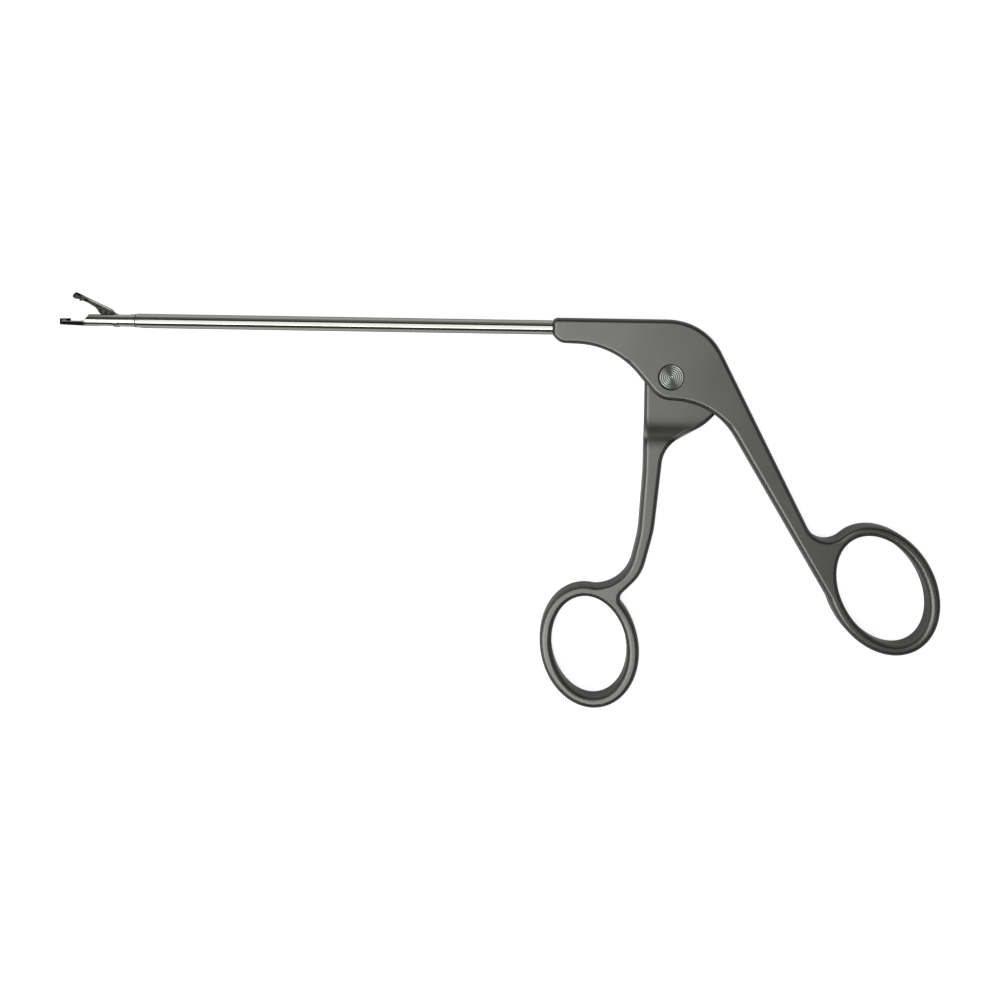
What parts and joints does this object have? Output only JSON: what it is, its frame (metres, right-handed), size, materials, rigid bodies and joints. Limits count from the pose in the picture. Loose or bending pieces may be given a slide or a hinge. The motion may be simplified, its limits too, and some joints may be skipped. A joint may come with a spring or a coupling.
{
  "type": "arthroscopic suture cutter",
  "caption": "Slender ring-handled surgical cutter: a finger lever pushes a rod through the shaft and closes a notched jaw on a fixed hooked jaw to cut suture.",
  "frame": {"origin": "on the shaft axis, where the shaft leaves the nose of the handle", "axes": "-X along the shaft towards the jaws, +Y up in the plane of the handle, +Z out of the handle's flat side, so the instrument lies on its side"},
  "size_m": [0.233, 0.1069, 0.0066],
  "materials": {
    "handle_satin": "satin, bead blasted",
    "pivot_turned": "fine turned",
    "tube_polished": "polished",
    "jaw_steel": "ground and polished",
    "inner_steel": "drawn"
  },
  "bodies": {
    "handle": {"handle_body": "handle_satin", "outer_tube": "tube_polished", "fixed_jaw": "jaw_steel", "jaw_hinge_pin": "jaw_steel", "pivot_pin": "pivot_turned", "pivot_screw": "pivot_turned"},
    "lever": {"finger_lever": "handle_satin"},
    "rod": {"push_rod": "inner_steel", "rod_tip": "inner_steel", "rod_clevis": "inner_steel", "clevis_dowel": "inner_steel", "clevis_pin": "inner_steel"},
    "jaw": {"upper_jaw": "jaw_steel", "drive_pin": "inner_steel"}
  },
  "joints": [
    {"name": "lever_swing", "type": "hinge", "parent": "handle", "child": "lever", "pos_m": [0.0312, -0.0125, 0], "axis": [0, 0, 1], "range_deg": [0, 3.86]},
    {"name": "rod_slide", "type": "slide", "parent": "handle", "child": "rod", "axis": [-1, 0, 0], "range_m": [0, 0.000845]},
    {"name": "jaw_swing", "type": "hinge", "parent": "handle", "child": "jaw", "pos_m": [-0.1151, -0.001, 0], "axis": [0, 0, 1], "range_deg": [0, 25]}
  ],
  "couplings": [
    {"joint": "rod_slide", "follows": "lever_swing", "m_per_rad": 0.012505},
    {"joint": "jaw_swing", "follows": "lever_swing", "ratio": 6.4638}
  ]
}
